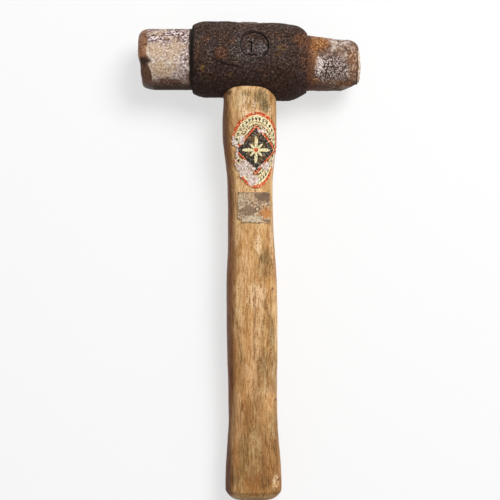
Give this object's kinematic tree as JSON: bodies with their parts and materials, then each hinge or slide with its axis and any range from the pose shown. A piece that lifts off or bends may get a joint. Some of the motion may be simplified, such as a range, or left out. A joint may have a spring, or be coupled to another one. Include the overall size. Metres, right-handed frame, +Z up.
{
  "type": "copper rawhide hammer",
  "caption": "Soft-faced hammer: a round iron barrel with a copper face in one socket and a rolled rawhide face in the other, on a wedged wooden handle.",
  "frame": {"origin": "where the barrel's axis crosses the handle's axis, in the middle of the eye", "axes": "the hammer lies on its side: +X along the barrel towards the rawhide, +Y out of the top of the eye with the handle along -Y, +Z up"},
  "size_m": [0.1162, 0.25, 0.04],
  "materials": {
    "cast_iron": "rough cast, dark brown oxide with red rust",
    "copper": "hammered copper under a pale oxide crust",
    "rawhide": "rolled hide, rust stained and frayed",
    "handle_wood": "oiled straight-grained ash, worn and stained",
    "wedge_wood": "dry end grain",
    "wedge_steel": "rusted steel",
    "label_paper": "printed paper, orange, cream and black, torn",
    "slip_paper": "bare worn paper"
  },
  "bodies": {
    "root": {"head_casting": "cast_iron", "copper_face": "copper", "rawhide_face": "rawhide", "handle": "handle_wood", "wooden_wedge": "wedge_wood", "steel_wedge_left": "wedge_steel", "steel_wedge_right": "wedge_steel", "oval_label": "label_paper", "paper_slip": "slip_paper"}
  },
  "joints": []
}
